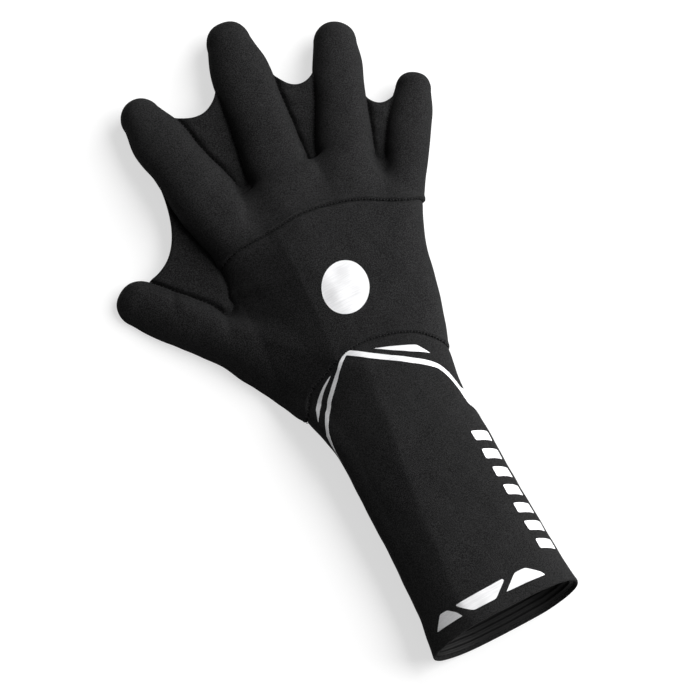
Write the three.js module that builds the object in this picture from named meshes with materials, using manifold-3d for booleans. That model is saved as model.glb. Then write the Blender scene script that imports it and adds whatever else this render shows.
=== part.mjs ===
// A right-hand webbed swim glove: a neoprene hand with a web between each two fingers, a long cuff
// sewn on at the wrist, and a ridged rubber seal inside the cuff's mouth. It lies palm down.
// X runs across the hand towards the little finger, Y from the cuff's mouth to the fingertips, and Z up
// from the surface that the glove lies on. All lengths are in millimetres and all angles in degrees.

import * as THREE from "three";
import { mergeVertices } from "three/addons/utils/BufferGeometryUtils.js";
import Module from "manifold-3d";

const wasm = await Module();
wasm.setup();

const { PI, sin, cos, abs, sign, max, exp } = Math;

// Sheet thicknesses, and the gap that sewn pieces keep
const handWall = 3;
const cuffWall = 3;
const webThickness = 3;
const webOverlap = 1; // how far a web's outline runs into the sides of its two fingers
const seamGap = 0.3;

// Cuff
const cuffLength = 128; // from the mouth to the two ends of the wrist seam
const mouthWidth = 77.5;
const mouthHeight = 37;
const mouthSlant = 4; // how far the palm side of the mouth reaches past its upper side
const wristWidth = 69;
const wristHeight = 33;
const wristSeamRise = 20.5; // the crown of the wrist seam above its two ends
const ridgeRise = 1.6; // the soft crease that runs down the back of the cuff

// Hand
const handLength = 92; // from the ends of the wrist seam to the knuckles
const handHeight = 34;
const palmHollowHeight = 3; // how far the hollow of the wrist and palm clears the surface
const leastHollow = 1; // the height of the hollow inside at its front end

// Fingers and thumb
const fingerLength = 133; // the middle finger, from its root deep in the hand
const fingerWidth = 24; // across a fingertip
const fingerHeight = 21;
const thumbLength = 104; // from its root in the ball of the thumb
const thumbHeight = 23;

// Seal inside the mouth
const sealInset = 2; // from the mouth to the seal's edge
const sealLength = 27;
const sealThickness = 1;
const sealRidge = 0.9; // how far each ridge stands out
const sealRidges = 5;

// How finely the curved faces are divided
const bodyRing = 36;
const fingerRing = 18;
const capRows = 3;
const seamSteps = 3; // between two rows of a seam's table

// The exponents of the rounded sections: 2 is an ellipse, more is squarer and less comes to a point
const fingerFullness = 2.1;
const undersideExtra = 0.45; // the underside is squarer than the top by this much
const tipFullness = 2.2; // the rounded tips, seen from above

// Sections of the cuff. along is a share of cuffLength, flare goes from 0 at the wrist's width to 1 at the
// mouth's, shift is a share of wristWidth, lift of palmHollowHeight, ridge of ridgeRise, and full is an exponent.
const cuffTable = [
  { along: 0.0, flare: 1.0, shift: 0.0, lift: -0.25, ridge: 0.1, full: 1.75 },
  { along: 0.07, flare: 0.72, shift: 0.006, lift: -0.25, ridge: 0.35, full: 1.85 },
  { along: 0.17, flare: 0.41, shift: 0.02, lift: -0.15, ridge: 0.6, full: 1.95 },
  { along: 0.4, flare: 0.13, shift: 0.026, lift: 0.1, ridge: 0.9, full: 2.05 },
  { along: 0.65, flare: 0.02, shift: 0.031, lift: 0.4, ridge: 1.0, full: 2.1 },
  { along: 0.84, flare: -0.07, shift: 0.028, lift: 0.7, ridge: 0.9, full: 2.1 },
];

// Sections of the hand. along is a share of handLength from the ends of the wrist seam, left and right are
// shares of fingerWidth from the middle line, tall of handHeight, and lift and ridge as above.
const handTable = [
  { along: 0.0, left: -1.52, right: 1.63, tall: 0.985, lift: 0.8, ridge: 0.7, full: 2.1 },
  { along: 0.07, left: -1.68, right: 1.73, tall: 0.99, lift: 0.6, ridge: 0.6, full: 2.1 },
  { along: 0.16, left: -1.83, right: 1.86, tall: 1.0, lift: 0.35, ridge: 0.45, full: 2.1 },
  { along: 0.3, left: -2.05, right: 2.04, tall: 1.0, lift: -0.3, ridge: 0.2, full: 2.1 },
  { along: 0.46, left: -2.29, right: 2.19, tall: 0.98, lift: -0.4, ridge: 0.0, full: 2.1 },
  { along: 0.62, left: -2.01, right: 2.33, tall: 0.94, lift: -0.1, ridge: 0.0, full: 2.1 },
  { along: 0.78, left: -1.79, right: 2.48, tall: 0.885, lift: 0.3, ridge: 0.0, full: 2.1 },
  { along: 0.92, left: -1.52, right: 2.3, tall: 0.83, lift: 0.5, ridge: 0.0, full: 2.1 },
  { along: 1.0, left: -1.44, right: 2.3, tall: 0.79, lift: 0.55, ridge: 0.0, full: 2.1 },
  { along: 1.14, left: -1.15, right: 2.2, tall: 0.72, lift: 0.75, ridge: 0.0, full: 2.1 },
];
const frontDome = 0.14; // the rounded front of the hand between the finger roots, in handLengths

// The fingers. across is a share of fingerWidth from the middle line, along of handLength from the ends of
// the wrist seam, splay an angle towards the little finger, long a share of fingerLength (of thumbLength
// for the thumb). root, base, middle and tip are widths as shares of fingerWidth, and plump is a share of
// the finger's height.
const fingerTable = {
  thumb: { across: -1.03, along: 0.226, splay: -37.4, long: 0.99, plump: 1.0,
    root: 1.17, base: 1.06, middle: 1.07, tip: 1.0 },
  index: { across: -0.81, along: 0.783, splay: -8.6, long: 0.886, plump: 1.0,
    root: 1.215, base: 1.355, middle: 1.15, tip: 0.84 },
  middle: { across: 0.165, along: 0.783, splay: 7.7, long: 1.005, plump: 1.0,
    root: 1.45, base: 1.27, middle: 1.205, tip: 0.925 },
  ring: { across: 1.086, along: 0.8, splay: 23.1, long: 0.865, plump: 0.96,
    root: 1.16, base: 1.16, middle: 1.04, tip: 0.89 },
  little: { across: 1.54, along: 0.548, splay: 33.3, long: 0.783, plump: 0.9,
    root: 0.82, base: 0.86, middle: 0.85, tip: 0.72 },
};

// How each finger tapers. along is a share of its length up to the rounded tip, wide names one of its four
// widths, tall is a share of fingerHeight or thumbHeight, and lift of palmHollowHeight.
const taperTable = [
  { along: 0.0, wide: "root", tall: 0.85, lift: 2.1 },
  { along: 0.28, wide: "root", tall: 1.2, lift: 0.6 },
  { along: 0.48, wide: "base", tall: 1.12, lift: 0.85 },
  { along: 0.72, wide: "middle", tall: 1.05, lift: 0.6 },
  { along: 0.87, wide: "middle", tall: 1.0, lift: 0.1 },
  { along: 1.0, wide: "tip", tall: 0.97, lift: -0.25 },
];
const capShare = 0.5; // a rounded tip reaches this many of its own widths along the finger

// The webs. from and to are the shares of each finger's length where the free edge meets its side. The
// edge hangs towards a point that is pull of the way along it and dip fingerWidths below it.
const webTable = [
  { name: "web_thumb_index", a: "thumb", b: "index", from: 0.925, to: 0.64, pull: 0.27, dip: 0.92 },
  { name: "web_index_middle", a: "index", b: "middle", from: 0.83, to: 0.765, pull: 0.45, dip: 0.56 },
  { name: "web_middle_ring", a: "middle", b: "ring", from: 0.755, to: 0.775, pull: 0.62, dip: 0.56 },
  { name: "web_ring_little", a: "ring", b: "little", from: 0.655, to: 0.86, pull: 0.5, dip: 0.32 },
];

// The knuckle seam, from the outer side of the hand to the web of the thumb. across is a share of
// fingerWidth from the middle line, and ahead of handLength from the knuckles.
const knuckleSeamTable = [
  { across: 2.68, ahead: -0.185 },
  { across: 2.27, ahead: -0.165 },
  { across: 1.42, ahead: -0.057 },
  { across: 0.5, ahead: 0.004 },
  { across: -0.33, ahead: 0.0 },
  { across: -1.2, ahead: -0.011 },
  { across: -1.58, ahead: -0.027 },
];

// The wrist seam, from the outer side of the wrist over its back to the thumb's side. across is a share of
// wristWidth from the middle line, and ahead of wristSeamRise from the two ends.
const wristSeamTable = [
  { across: 0.585, ahead: 0.0 },
  { across: 0.525, ahead: 0.24 },
  { across: 0.42, ahead: 0.575 },
  { across: 0.3, ahead: 0.775 },
  { across: 0.16, ahead: 0.915 },
  { across: 0.016, ahead: 0.98 },
  { across: -0.14, ahead: 0.91 },
  { across: -0.33, ahead: 0.69 },
  { across: -0.44, ahead: 0.54 },
  { across: -0.49, ahead: 0.33 },
  { across: -0.56, ahead: 0.0 },
];

const wristY = cuffLength;
const knuckleY = wristY + handLength;
const webMiddle = fingerHeight * 0.5;

const radians = (degrees) => (degrees * PI) / 180;
const power = (value, exponent) => sign(value) * abs(value) ** exponent;

// A column of a table at any place along it, as a smooth curve through its rows.
function columnAt(rows, column, along) {
  let i = 0;
  while (i < rows.length - 2 && along > rows[i + 1].along) i += 1;
  const slopeAt = (k) => {
    const before = rows[max(k - 1, 0)];
    const after = rows[Math.min(k + 1, rows.length - 1)];
    return (after[column] - before[column]) / (after.along - before.along);
  };
  const span = rows[i + 1].along - rows[i].along;
  const t = Math.min(max((along - rows[i].along) / span, 0), 1);
  const start = rows[i][column];
  const end = rows[i + 1][column];
  const curve = (2 * t ** 3 - 3 * t ** 2 + 1) * start + (3 * t ** 2 - 2 * t ** 3) * end;
  const lean = (t ** 3 - 2 * t ** 2 + t) * slopeAt(i) + (t ** 3 - t ** 2) * slopeAt(i + 1);
  return curve + lean * span;
}

// A closed body through rings of points, each ring with the same number, and a fan over each end.
function loft(rings) {
  const count = rings[0].length;
  const points = rings.flat();
  const middleOf = (ring) =>
    ring.reduce((sum, p) => sum.add(p), new THREE.Vector3()).divideScalar(count);
  const first = points.push(middleOf(rings[0])) - 1;
  const last = points.push(middleOf(rings.at(-1))) - 1;
  const top = (rings.length - 1) * count;
  const faces = [];
  for (let i = 0; i < count; i += 1) {
    const j = (i + 1) % count;
    for (let row = 0; row < top; row += count) {
      faces.push(row + i, row + count + i, row + j);
      faces.push(row + j, row + count + i, row + count + j);
    }
    faces.push(first, i, j);
    faces.push(last, top + j, top + i);
  }
  return new THREE.BufferGeometry().setFromPoints(points).setIndex(faces);
}

function solidOf(geometry) {
  const bare = new THREE.BufferGeometry()
    .setAttribute("position", geometry.getAttribute("position"))
    .setIndex(geometry.getIndex());
  const merged = mergeVertices(bare, 1e-4);
  return new wasm.Manifold(
    new wasm.Mesh({
      numProp: 3,
      vertProperties: merged.attributes.position.array,
      triVerts: new Uint32Array(merged.index.array),
    }),
  );
}

function geometryOf(solid) {
  const mesh = solid.getMesh();
  const geometry = new THREE.BufferGeometry()
    .setAttribute("position", new THREE.BufferAttribute(mesh.vertProperties, mesh.numProp))
    .setIndex(new THREE.BufferAttribute(mesh.triVerts, 1))
    .toNonIndexed();
  geometry.computeVertexNormals();
  return geometry;
}

const unionOf = (solids) => solids.reduce((sum, solid) => sum.add(solid));

// One cross-section, as points across and up. Where it would reach below the surface that the glove
// lies on, it is pressed flat, and inset moves the whole outline inwards by that much.
function outline(section, inset, count) {
  const halfWidth = section.width / 2 - inset;
  const halfHeight = section.height / 2 - inset;
  const middle = section.lift + section.height / 2;
  return Array.from({ length: count }, (_, i) => {
    const turn = (2 * PI * i) / count;
    const exponent = 2 / (section.full + (sin(turn) > 0 ? 0 : undersideExtra));
    const across = halfWidth * power(cos(turn), exponent);
    const ridge = sin(turn) > 0 ? (section.ridge ?? 0) * exp(-((across / (halfWidth / 3)) ** 2)) : 0;
    const up = middle + halfHeight * power(sin(turn), exponent) + ridge;
    return { across, up: max(up, inset) };
  });
}

// The cuff and the hand as one run of sections, from the mouth to the front of the knuckles.
const cuffRows = cuffTable.map((row) => ({
  along: row.along * cuffLength,
  width: wristWidth + row.flare * (mouthWidth - wristWidth),
  shift: row.shift * wristWidth,
  height: wristHeight + row.flare * (mouthHeight - wristHeight),
  lift: row.lift * palmHollowHeight,
  ridge: row.ridge * ridgeRise,
  full: row.full,
}));
const handRows = handTable.map((row) => ({
  along: wristY + row.along * handLength,
  width: (row.right - row.left) * fingerWidth,
  shift: ((row.right + row.left) / 2) * fingerWidth,
  height: row.tall * handHeight,
  lift: row.lift * palmHollowHeight,
  ridge: row.ridge * ridgeRise,
  full: row.full,
}));
const bodyRows = [...cuffRows, ...handRows];

function bodySection(along) {
  const section = { along };
  for (const column of ["width", "shift", "height", "lift", "ridge", "full"])
    section[column] = columnAt(bodyRows, column, along);
  return section;
}

// The mouth's slant is taken up over the first quarter of the cuff.
function bodyRing3D(section, inset) {
  const slant = mouthSlant * max(1 - (4 * section.along) / cuffLength, 0);
  return outline(section, inset, bodyRing).map(
    (p) =>
      new THREE.Vector3(
        section.shift + p.across,
        section.along - slant * (0.5 - (p.up - section.lift) / section.height),
        p.up,
      ),
  );
}

// The hand with the cuff, inset by the wall for the hollow inside, which also runs out past the mouth.
function bodySolid(inset) {
  const rings = bodyRows.map((row) => bodyRing3D(row, inset));
  if (inset > 0) rings.unshift(rings[0].map((p) => p.clone().setY(p.y - cuffWall)));
  const front = bodyRows.at(-1);
  for (let i = 1; i < capRows; i += 1) {
    const turn = (PI / 2) * (i / capRows);
    const height = front.height * cos(turn);
    rings.push(
      bodyRing3D(
        {
          ...front,
          along: front.along + (frontDome * handLength - inset) * sin(turn),
          width: front.width - 0.8 * (front.height - height),
          height: max(height, 2 * inset + leastHollow),
          lift: front.lift + (front.height - height) / 2,
        },
        inset,
      ),
    );
  }
  return solidOf(loft(rings));
}

// Each finger as the place of its root, its direction, its length and its two widths.
const fingers = Object.fromEntries(
  Object.entries(fingerTable).map(([name, row]) => {
    const turn = radians(row.splay);
    return [
      name,
      {
        root: new THREE.Vector3(row.across * fingerWidth, wristY + row.along * handLength, 0),
        ahead: new THREE.Vector3(sin(turn), cos(turn), 0),
        aside: new THREE.Vector3(cos(turn), -sin(turn), 0),
        length: row.long * (name === "thumb" ? thumbLength : fingerLength),
        sections: taperTable.map((section) => ({
          along: section.along,
          width: row[section.wide] * fingerWidth,
          height: section.tall * row.plump * (name === "thumb" ? thumbHeight : fingerHeight),
          lift: section.lift * palmHollowHeight,
          full: fingerFullness,
        })),
      },
    ];
  }),
);

function fingerSolid(finger, inset) {
  const tip = finger.sections.at(-1);
  const capLength = capShare * tip.width;
  const straight = finger.length - capLength;
  const ringAt = (section, along) =>
    outline(section, inset, fingerRing).map((p) =>
      finger.root
        .clone()
        .addScaledVector(finger.ahead, along)
        .addScaledVector(finger.aside, p.across)
        .setZ(p.up),
    );
  const rings = finger.sections.map((section) => ringAt(section, section.along * straight));
  for (let i = 1; i <= capRows; i += 1) {
    const turn = (PI / 2) * (i / (capRows + 0.3));
    const shrink = cos(turn) ** (2 / tipFullness);
    const section = {
      width: (tip.width - 2 * inset) * shrink + 2 * inset,
      height: (tip.height - 2 * inset) * shrink + 2 * inset,
      full: tip.full,
    };
    section.lift = tip.lift + (tip.height - section.height) / 2;
    rings.push(ringAt(section, straight + (capLength - inset) * sin(turn) ** (2 / tipFullness)));
  }
  return solidOf(loft(rings));
}

// A flat outline in X and Y, stood up from bottom to top.
function prism(shape, bottom, top, curveSegments = 12) {
  const options = { depth: top - bottom, bevelEnabled: false, curveSegments };
  return solidOf(new THREE.ExtrudeGeometry(shape, options).translate(0, 0, bottom));
}

// The whole glove as one skin, before it is cut into its sewn panels.
const fingerSolids = Object.values(fingers).map((finger) => fingerSolid(finger, 0));
const outside = unionOf([bodySolid(0), ...fingerSolids]);
const hollows = Object.values(fingers).map((finger) => fingerSolid(finger, handWall));
const skin = outside.subtract(unionOf([bodySolid(handWall), ...hollows]));

// Room around the glove for the cutting shapes.
const reach = 3 * (fingerLength + handLength);

// The wrist seam arches over the back of the hand, from side to side.
function wristSeam(offset) {
  const points = wristSeamTable.map(
    (row) => new THREE.Vector2(row.across * wristWidth, wristY + row.ahead * wristSeamRise + offset),
  );
  const shape = new THREE.Shape();
  shape.moveTo(-reach, -reach);
  shape.lineTo(reach, -reach);
  shape.lineTo(reach, points[0].y);
  shape.lineTo(points[0].x, points[0].y);
  shape.splineThru(points.slice(1));
  shape.lineTo(-reach, points.at(-1).y);
  return prism(shape, -reach, reach, seamSteps);
}

// The knuckle seam runs from the web of the thumb to the outer side of the little finger, and the same
// cut goes on midway between the thumb and the index finger, where only the web is.
function knuckleSeam(offset) {
  const points = knuckleSeamTable.map(
    (row) => new THREE.Vector2(row.across * fingerWidth, knuckleY + row.ahead * handLength + offset),
  );
  const inner = points.at(-1);
  const shape = new THREE.Shape();
  shape.moveTo(-reach, -reach);
  shape.lineTo(reach, -reach);
  shape.lineTo(reach, points[0].y);
  shape.lineTo(points[0].x, points[0].y);
  shape.splineThru(points.slice(1));
  const between = fingers.thumb.ahead.clone().add(fingers.index.ahead).setLength(reach);
  shape.lineTo(inner.x + between.x, inner.y + between.y);
  shape.lineTo(-reach, inner.y + between.y);
  return prism(shape, -reach, reach, seamSteps);
}

// The side seam parts the back of the hand from the palm, along the middle of the hand's height.
function palmSide(offset) {
  const shape = new THREE.Shape();
  shape.moveTo(-reach, -reach);
  shape.lineTo(reach, -reach);
  shape.lineTo(reach, webMiddle + offset);
  shape.lineTo(knuckleY, webMiddle + offset);
  shape.lineTo(wristY, wristHeight * 0.42 + offset);
  shape.lineTo(-reach, wristHeight * 0.42 + offset);
  const options = { depth: 2 * reach, bevelEnabled: false };
  const geometry = new THREE.ExtrudeGeometry(shape, options).translate(0, 0, -reach);
  // The outline was drawn in Y and Z, so it is turned to stand across the glove.
  const turned = new THREE.Matrix4().makeBasis(
    new THREE.Vector3(0, 1, 0),
    new THREE.Vector3(0, 0, 1),
    new THREE.Vector3(1, 0, 0),
  );
  return solidOf(geometry.applyMatrix4(turned));
}

const hand = skin.subtract(wristSeam(seamGap));
const back = hand.subtract(palmSide(seamGap));
const palmPanel = hand.intersect(palmSide(0));
const backPanel = back.intersect(knuckleSeam(0));
const fingerPanel = back.subtract(knuckleSeam(seamGap));
const cuff = outside.subtract(bodySolid(cuffWall)).intersect(wristSeam(0));

// A web lies between two fingers: its outline runs from one finger's middle line to the other's, and
// what lies inside the fingers and the hand is cut away with a gap for the seam.
const clearance = unionOf([
  bodySolid(-seamGap),
  ...Object.values(fingers).map((finger) => fingerSolid(finger, -seamGap)),
]);

function webSolid(web) {
  const a = fingers[web.a];
  const b = fingers[web.b];
  const at = (finger, share, side) => {
    const half = columnAt(finger.sections, "width", share) / 2;
    return finger.root
      .clone()
      .addScaledVector(finger.ahead, share * finger.length)
      .addScaledVector(finger.aside, side * (half - webOverlap));
  };
  const start = at(a, web.from, 1);
  const end = at(b, web.to, -1);
  const chord = end.clone().sub(start);
  const below = new THREE.Vector3(chord.y, -chord.x, 0).normalize();
  const low = start.clone().addScaledVector(chord, web.pull).addScaledVector(below, web.dip * fingerWidth);
  const inA = at(a, web.from, 0);
  const inB = at(b, web.to, 0);
  const shape = new THREE.Shape();
  shape.moveTo(a.root.x, a.root.y);
  shape.lineTo(b.root.x, b.root.y);
  shape.lineTo(inB.x, inB.y);
  shape.lineTo(end.x, end.y);
  shape.quadraticCurveTo(low.x, low.y, start.x, start.y);
  shape.lineTo(inA.x, inA.y);
  const bottom = webMiddle - webThickness / 2;
  return prism(shape, bottom, bottom + webThickness).subtract(clearance);
}

// The seal is a rubber band with ridges round its inner face, one step of the wave to each ridge.
function sealSolid() {
  const outer = cuffWall + seamGap;
  const ringAt = (along, inset) => bodyRing3D(bodySection(along), inset);
  const ends = [sealInset, sealInset + sealLength];
  const body = loft([ends[0], (ends[0] + ends[1]) / 2, ends[1]].map((along) => ringAt(along, outer)));
  const steps = sealRidges * 2;
  const bore = Array.from({ length: steps + 1 }, (_, i) => {
    const along = ends[0] + (i / steps) * sealLength;
    return ringAt(along, outer + sealThickness + (i % 2) * sealRidge);
  });
  bore.unshift(bore[0].map((p) => p.clone().setY(p.y - 2 * sealThickness)));
  bore.push(bore.at(-1).map((p) => p.clone().setY(p.y + 2 * sealThickness)));
  return solidOf(body).subtract(solidOf(loft(bore)));
}

const neoprene = new THREE.MeshStandardMaterial({ color: 0x1c1c1d, roughness: 0.85, metalness: 0 });
const smoothNeoprene = new THREE.MeshStandardMaterial({ color: 0x1a1a1b, roughness: 0.7, metalness: 0 });
const sealRubber = new THREE.MeshStandardMaterial({ color: 0x0c0c0c, roughness: 0.35, metalness: 0 });

const glove = new THREE.Group();
glove.name = "swim_glove";

function addPiece(name, solid, material) {
  const mesh = new THREE.Mesh(geometryOf(solid), material);
  mesh.name = name;
  glove.add(mesh);
}

addPiece("finger_back_panel", fingerPanel, neoprene);
addPiece("hand_back_panel", backPanel, neoprene);
addPiece("palm_panel", palmPanel, neoprene);
for (const web of webTable) addPiece(web.name, webSolid(web), neoprene);
addPiece("cuff_sleeve", cuff, smoothNeoprene);
addPiece("cuff_seal", sealSolid(), sealRubber);

// The origin is the middle of the glove's footprint, on the surface that it lies on.
const box = new THREE.Box3().setFromObject(glove);
const middle = box.getCenter(new THREE.Vector3());
glove.position.set(-middle.x, -middle.y, -box.min.z);

export default glove;
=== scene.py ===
import math

import bpy
import numpy as np
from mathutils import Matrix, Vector


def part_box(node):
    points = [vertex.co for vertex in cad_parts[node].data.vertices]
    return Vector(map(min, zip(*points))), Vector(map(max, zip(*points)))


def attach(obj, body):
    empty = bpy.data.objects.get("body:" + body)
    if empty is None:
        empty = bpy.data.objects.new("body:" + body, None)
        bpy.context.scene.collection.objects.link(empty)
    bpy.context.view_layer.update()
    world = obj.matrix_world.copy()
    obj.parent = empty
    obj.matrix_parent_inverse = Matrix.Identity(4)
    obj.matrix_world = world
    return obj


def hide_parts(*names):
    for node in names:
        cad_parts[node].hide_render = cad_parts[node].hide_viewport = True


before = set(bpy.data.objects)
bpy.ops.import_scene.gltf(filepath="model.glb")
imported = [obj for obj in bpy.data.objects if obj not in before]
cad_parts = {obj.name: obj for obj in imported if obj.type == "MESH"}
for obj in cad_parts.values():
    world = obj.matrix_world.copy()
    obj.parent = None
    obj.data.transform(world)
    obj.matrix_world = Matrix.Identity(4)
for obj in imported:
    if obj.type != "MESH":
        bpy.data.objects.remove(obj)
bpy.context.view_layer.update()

# Palm panel.
# The whole underside of the glove, from the cuff seam to the fingertips, cut from one sheet of 3 mm foamed
# neoprene with black jersey on both faces. It is moulded over a hand form and sewn to the backs at the side.

HAND_WALL = 3.0
CUFF_LENGTH = 128.0
HAND_LENGTH = 92.0
FINGER_WIDTH = 24.0
FINGER_HEIGHT = 21.0
THUMB_HEIGHT = 23.0
FINGER_LENGTH = 133.0
THUMB_LENGTH = 104.0
LIFT = 3.0
MOUTH_SLANT = 4.0
MOUTH_WIDTH, MOUTH_HEIGHT = 77.5, 37.0
WRIST_WIDTH, WRIST_HEIGHT, HAND_HEIGHT = 69.0, 33.0, 34.0
WEB_MIDDLE = FINGER_HEIGHT * 0.5
SEAM_GAP = 0.24


def table(columns, rows):
    """Rows of values, each under the names of the columns."""
    return [dict(zip(columns.split(), row)) for row in rows]


# Sections of the cuff and of the hand, in the columns that the part's source has.
CUFF_SECTIONS = table("along flare shift lift full", [
    (0.0, 1.0, 0.0, -0.25, 1.75),
    (0.07, 0.72, 0.006, -0.25, 1.85),
    (0.17, 0.41, 0.02, -0.15, 1.95),
    (0.4, 0.13, 0.026, 0.1, 2.05),
    (0.65, 0.02, 0.031, 0.4, 2.1),
    (0.84, -0.07, 0.028, 0.7, 2.1),
])
HAND_SECTIONS = table("along left right tall lift", [
    (0.0, -1.52, 1.63, 0.985, 0.8),
    (0.07, -1.68, 1.73, 0.99, 0.6),
    (0.16, -1.83, 1.86, 1.0, 0.35),
    (0.3, -2.05, 2.04, 1.0, -0.3),
    (0.46, -2.29, 2.19, 0.98, -0.4),
    (0.62, -2.01, 2.33, 0.94, -0.1),
    (0.78, -1.79, 2.48, 0.885, 0.3),
    (0.92, -1.52, 2.3, 0.83, 0.5),
    (1.0, -1.44, 2.3, 0.79, 0.55),
    (1.14, -1.15, 2.2, 0.72, 0.75),
])
FINGERS = {row["name"]: row for row in table("name across along splay long plump root base middle tip", [
    ("thumb", -1.03, 0.226, -37.4, 0.99, 1.0, 1.17, 1.06, 1.07, 1.0),
    ("index", -0.81, 0.783, -8.6, 0.886, 1.0, 1.215, 1.355, 1.15, 0.84),
    ("middle", 0.165, 0.783, 7.7, 1.005, 1.0, 1.45, 1.27, 1.205, 0.925),
    ("ring", 1.086, 0.8, 23.1, 0.865, 0.96, 1.16, 1.16, 1.04, 0.89),
    ("little", 1.54, 0.548, 33.3, 0.783, 0.9, 0.82, 0.86, 0.89, 0.74),
])}
TAPER = table("along wide tall lift", [
    (0.0, "root", 0.85, 2.1),
    (0.28, "root", 1.2, 0.6),
    (0.48, "base", 1.12, 0.85),
    (0.72, "middle", 1.05, 0.6),
    (0.87, "middle", 1.0, 0.1),
    (1.0, "tip", 0.97, -0.25),
])
TIP_SHARE = 0.5

# The fold down the back of the cuff and of the hand: where it runs, how high and how soft it is there.
FOLD = table("along x fold soft", [
    (0, -17.0, 0.5, 9),
    (15, -16.2, 0.8, 6),
    (44, -13.8, 1.0, 5),
    (61, -11.8, 1.0, 5),
    (83, -8.8, 1.0, 5),
    (104, -5.2, 1.0, 6),
    (134, -1.6, 0.9, 18),
    (150, 1.0, 0.65, 70),
    (172, 3.5, 0.5, 100),
    (194, 5.0, 0.5, 60),
    (213, 5.4, 0.6, 20),
    (226, 4.6, 0.3, 20),
    (245, 3.0, 0.0, 20),
])
# The thumb's side of the hand has sunk, because nothing fills it out, by up to SUNK and by this share of it.
SUNK = 8.0
SUNK_SIDE = table("along share", [
    (118, 0.0),
    (136, 0.55),
    (154, 1.0),
    (206, 1.0),
    (230, 0.0),
])
# Valleys that run from between the fingers towards the wrist, and one wrinkle across the thumb. left and
# right are how far each spreads to the thumb's side and to the little finger's.
VALLEYS = table("x y to_x to_y depth left right", [
    (-9.5, 251.5, -20.0, 220.0, 2.4, 1.6, 8.0),
    (27.5, 246.5, 25.5, 217.0, 2.2, 2.5, 9.0),
    (56.5, 233.0, 49.0, 210.0, 2.0, 2.5, 8.0),
    (-45.5, 200.0, -53.0, 174.0, 4.2, 2.0, 14.0),
    (-62.5, 221.0, -71.0, 199.0, 1.6, 2.5, 2.0),
])

# Between the roots of two fingers the fabric is drawn up into a small rounded crotch.
CROTCHES = table("x y size", [
    (-9.3, 245.0, 7.0),
    (53.6, 227.6, 6.5),
])

glove_sections = []
for row in CUFF_SECTIONS:
    glove_sections.append(dict(
        along=row["along"] * CUFF_LENGTH,
        width=WRIST_WIDTH + row["flare"] * (MOUTH_WIDTH - WRIST_WIDTH),
        shift=row["shift"] * WRIST_WIDTH,
        height=WRIST_HEIGHT + row["flare"] * (MOUTH_HEIGHT - WRIST_HEIGHT),
        lift=row["lift"] * LIFT,
        full=row["full"],
    ))
for row in HAND_SECTIONS:
    glove_sections.append(dict(
        along=CUFF_LENGTH + row["along"] * HAND_LENGTH,
        width=(row["right"] - row["left"]) * FINGER_WIDTH,
        shift=(row["right"] + row["left"]) / 2 * FINGER_WIDTH,
        height=row["tall"] * HAND_HEIGHT,
        lift=row["lift"] * LIFT,
        full=2.1,
    ))

for name, finger in FINGERS.items():
    turn = math.radians(finger["splay"])
    thumb = name == "thumb"
    finger["at"] = (finger["across"] * FINGER_WIDTH, CUFF_LENGTH + finger["along"] * HAND_LENGTH)
    finger["ahead"] = (math.sin(turn), math.cos(turn))
    finger["reach"] = finger["long"] * (THUMB_LENGTH if thumb else FINGER_LENGTH)
    finger["end"] = TIP_SHARE * finger["tip"] * FINGER_WIDTH
    finger["sections"] = [
        dict(along=row["along"] * (finger["reach"] - finger["end"]),
             width=finger[row["wide"]] * FINGER_WIDTH,
             height=row["tall"] * finger["plump"] * (THUMB_HEIGHT if thumb else FINGER_HEIGHT),
             lift=row["lift"] * LIFT)
        for row in TAPER
    ]


def column(sections, name, at):
    """One column of the sections as a smooth curve, read at each place along it."""
    along = np.array([row["along"] for row in sections])
    value = np.array([row[name] for row in sections])
    before = np.maximum(np.arange(len(along)) - 1, 0)
    after = np.minimum(np.arange(len(along)) + 1, len(along) - 1)
    slope = (value[after] - value[before]) / (along[after] - along[before])
    i = np.clip(np.searchsorted(along, at) - 1, 0, len(along) - 2)
    span = along[i + 1] - along[i]
    t = np.clip((at - along[i]) / span, 0, 1)
    curve = (2 * t**3 - 3 * t**2 + 1) * value[i] + (3 * t**2 - 2 * t**3) * value[i + 1]
    return curve + span * ((t**3 - 2 * t**2 + t) * slope[i] + (t**3 - t**2) * slope[i + 1])


def section_at(sections, at):
    """Half the width, half the height and the middle's height of the section at each place."""
    half_width = column(sections, "width", at) / 2
    half_height = column(sections, "height", at) / 2
    return half_width, half_height, column(sections, "lift", at) + half_height


def rounded(across, up, beyond, half_width, half_height, exponent):
    """Distance from a rounded section: across and up from its middle, and beyond past its end, in ends."""
    u = np.abs(across) / half_width
    v = np.abs(up) / half_height
    total = u**exponent + v**exponent + beyond**exponent
    reach = np.maximum(total, 1e-3) ** (1 / exponent)
    slope = np.hypot(u ** (exponent - 1) / half_width, v ** (exponent - 1) / half_height)
    steep = reach ** (1 - exponent) * slope
    return (reach - 1) / np.maximum(steep, 0.5 / half_width)


def melt(a, b, radius):
    """The two forms as one, with a fillet of about this radius where they meet."""
    near = np.maximum(radius - np.abs(a - b), 0) / radius
    return np.minimum(a, b) - near * near * radius / 4


# The fold stands this high. The fabric falls away from it this deep and at this rate on the thumb's side,
# and by this slope on the other. It has all its effect this far above the middle of the section.
CREST, FALL_DEPTH, FALL_RATE, FALL_SLOPE, CREST_FADE = 1.2, 10, 0.038, 0.04, 9
# By how much the sections are squarer below, above, and above on the little finger's side.
UNDERSIDE_EXTRA, TOP_EXTRA, OUTER_EXTRA, OUTER_REACH = 0.45, 0.6, 0.5, 15
FRONT_DOME = 14.0


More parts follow.
